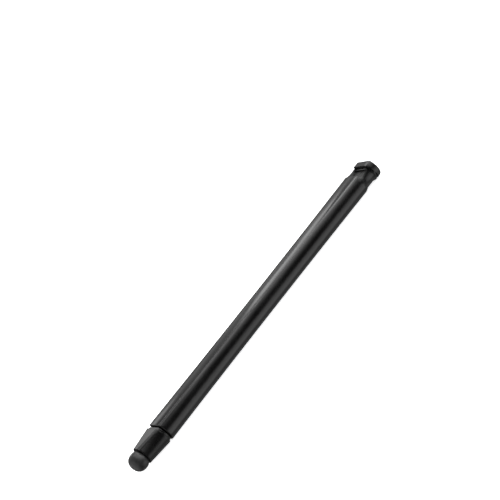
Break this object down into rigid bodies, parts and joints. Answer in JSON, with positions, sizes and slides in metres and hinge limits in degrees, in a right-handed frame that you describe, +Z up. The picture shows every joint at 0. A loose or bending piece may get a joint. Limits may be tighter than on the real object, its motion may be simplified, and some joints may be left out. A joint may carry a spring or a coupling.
{
  "type": "capacitive touch stylus",
  "caption": "Passive touch stylus with a soft round conductive tip, tapered pull-out nose, flat-sided waisted barrel and a head with a tether bar.",
  "frame": {"origin": "middle of the box at the height that the belly rests on", "axes": "+X along the pen towards its head, rubber tip at -X; +Z up, out of the flat side; the recess in the head opens towards -Y"},
  "size_m": [0.125, 0.008, 0.0071],
  "materials": {
    "tip_rubber": "soft matte conductive rubber, faintly shiny",
    "ring_rubber": "smooth O-ring rubber",
    "nose_plastic": "satin moulded black",
    "barrel_plastic": "satin moulded black, very fine grain",
    "cover_plastic": "satin moulded black, finely grained flat",
    "head_plastic": "satin moulded black",
    "bush_plastic": "natural nylon",
    "bar_steel": "black oxide steel",
    "contact_brass": "turned brass",
    "steel": "drawn steel rod",
    "spring_steel": "bright spring wire"
  },
  "bodies": {
    "pen_body": {"barrel_shell": "barrel_plastic", "barrel_cover": "cover_plastic", "nose_socket": "contact_brass", "core_rod": "steel", "rod_bushes": "bush_plastic", "head_cap": "head_plastic", "tether_bar": "bar_steel"},
    "tip_cartridge": {"rubber_tip": "tip_rubber", "tip_post": "contact_brass", "retaining_ring": "steel", "nose_sleeve": "nose_plastic", "nose_carrier": "nose_plastic", "spigot_o_rings": "ring_rubber", "contact_spring": "spring_steel"}
  },
  "joints": [
    {"name": "nose_pull", "type": "slide", "parent": "pen_body", "child": "tip_cartridge", "axis": [-1, 0, 0], "range_m": [0, 0.0084]}
  ]
}
